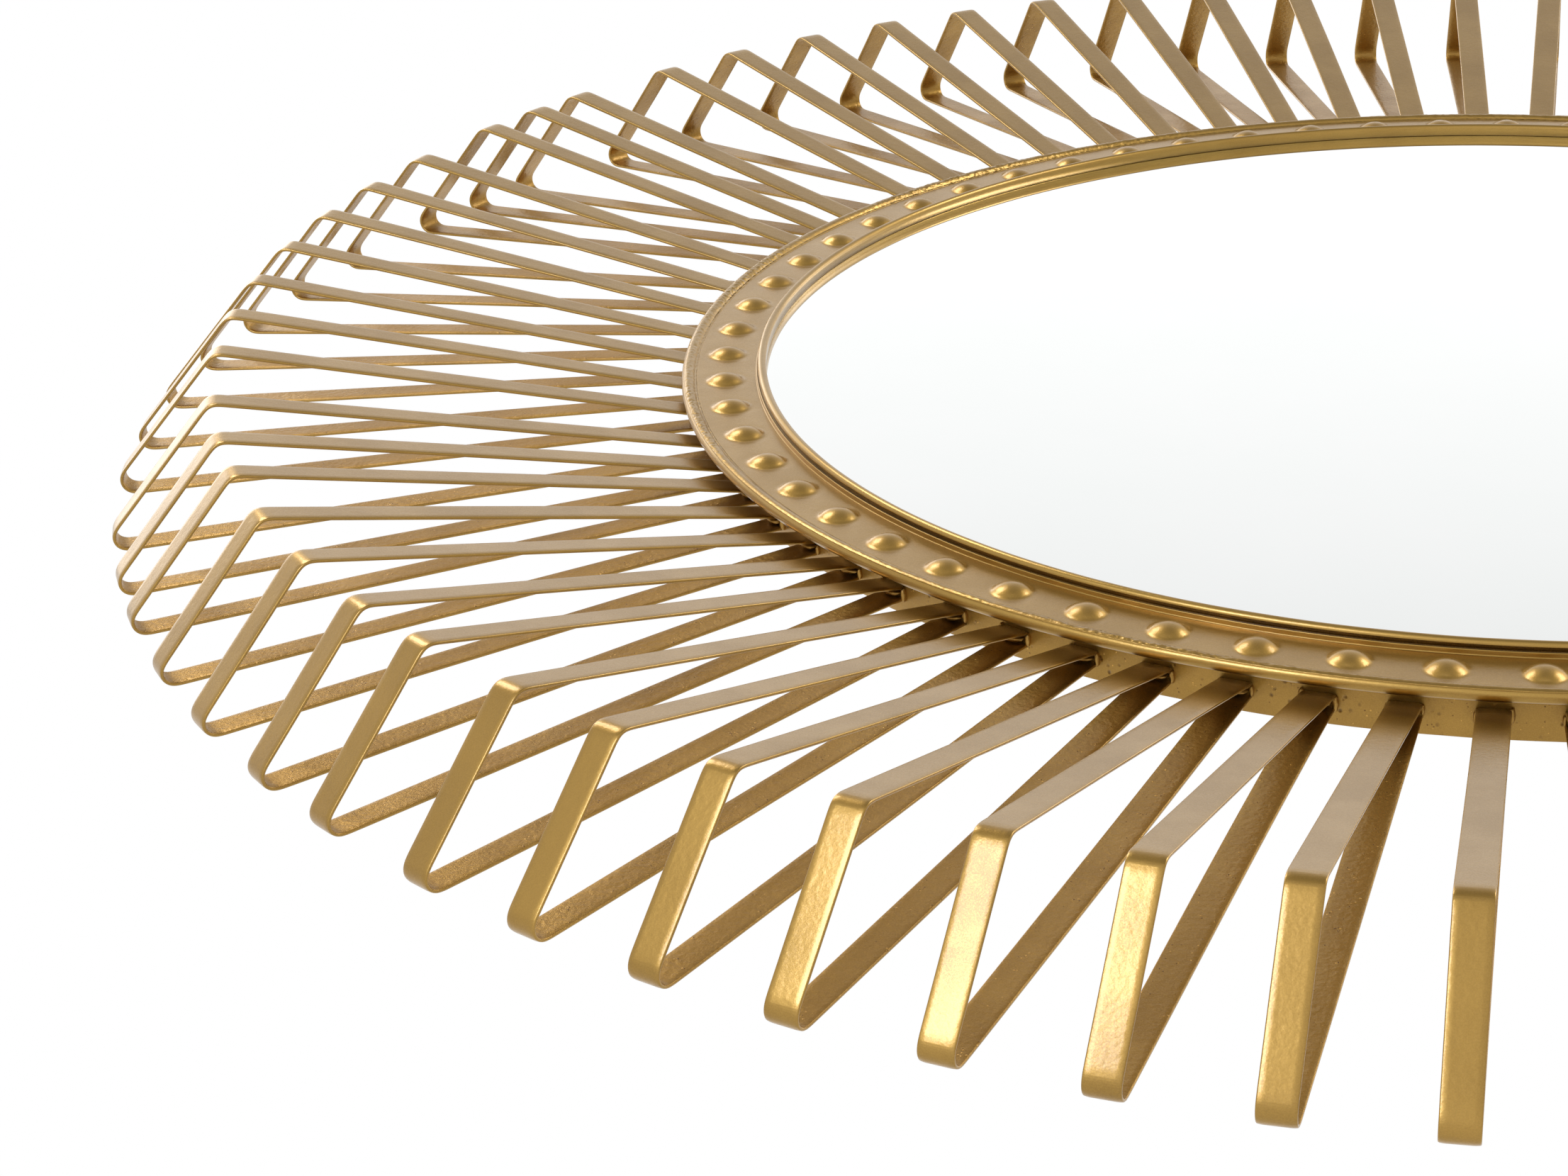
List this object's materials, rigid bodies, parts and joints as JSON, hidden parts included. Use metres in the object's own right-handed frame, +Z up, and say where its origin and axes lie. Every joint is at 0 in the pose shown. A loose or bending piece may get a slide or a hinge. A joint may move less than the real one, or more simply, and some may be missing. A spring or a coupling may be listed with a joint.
{
  "type": "sunburst wall mirror",
  "caption": "Round wall mirror in a domed metal ring, with bent-strip loop rays around it and two swinging rings to hang it by.",
  "frame": {"origin": "on the mirror's axis, in the wall plane that the back bends of the rays touch", "axes": "+Z up as it hangs, -Y out of the glass towards the room, +Y into the wall, +X to the right seen from the front"},
  "size_m": [0.9148, 0.0464, 0.9148],
  "materials": {
    "satin_gold": "satin gold paint with a fine orange-peel texture",
    "mirror_glass": "silvered float glass",
    "hardboard": "plain brown fibreboard",
    "zinc_steel": "zinc plated"
  },
  "bodies": {
    "mirror_body": {"mirror_glass": "mirror_glass", "backing_board": "hardboard", "face_ring": "satin_gold", "lip_hoop": "satin_gold", "rim_hoop": "satin_gold", "rim_weld_seam": "satin_gold", "hub_band": "satin_gold", "retaining_tabs": "satin_gold", "tab_screws": "zinc_steel", "left_hanger_strap": "zinc_steel", "right_hanger_strap": "zinc_steel", "hanger_screws": "zinc_steel", "ray_welds": "satin_gold", "rays_01_02": "satin_gold", "rays_03_04": "satin_gold", "rays_05_06": "satin_gold", "rays_07_08": "satin_gold", "rays_09_10": "satin_gold", "rays_11_12": "satin_gold", "rays_13_14": "satin_gold", "rays_15_16": "satin_gold", "rays_17_18": "satin_gold", "rays_19_20": "satin_gold", "rays_21_22": "satin_gold", "rays_23_24": "satin_gold", "rays_25_26": "satin_gold", "rays_27_28": "satin_gold", "rays_29_30": "satin_gold", "rays_31_32": "satin_gold", "rays_33_34": "satin_gold", "rays_35_36": "satin_gold", "rays_37_38": "satin_gold", "rays_39_40": "satin_gold", "rays_41_42": "satin_gold", "rays_43_44": "satin_gold", "rays_45_46": "satin_gold", "rays_47_48": "satin_gold", "rays_49_50": "satin_gold", "rays_51_52": "satin_gold", "rays_53_54": "satin_gold", "rays_55_56": "satin_gold", "rays_57_58": "satin_gold", "rays_59_60": "satin_gold", "rays_61_62": "satin_gold", "rays_63_64": "satin_gold", "rays_65_66": "satin_gold", "rays_67_68": "satin_gold", "rays_69_70": "satin_gold", "rays_71_72": "satin_gold"},
    "left_ring": {"left_hanger_ring": "zinc_steel"},
    "right_ring": {"right_hanger_ring": "zinc_steel"}
  },
  "joints": [
    {"name": "left_ring_swing", "type": "hinge", "parent": "mirror_body", "child": "left_ring", "pos_m": [-0.13, -0.01495, 0.15], "axis": [-1, 0, 0], "range_deg": [0, 175]},
    {"name": "right_ring_swing", "type": "hinge", "parent": "mirror_body", "child": "right_ring", "pos_m": [0.13, -0.01495, 0.15], "axis": [-1, 0, 0], "range_deg": [0, 175]}
  ]
}
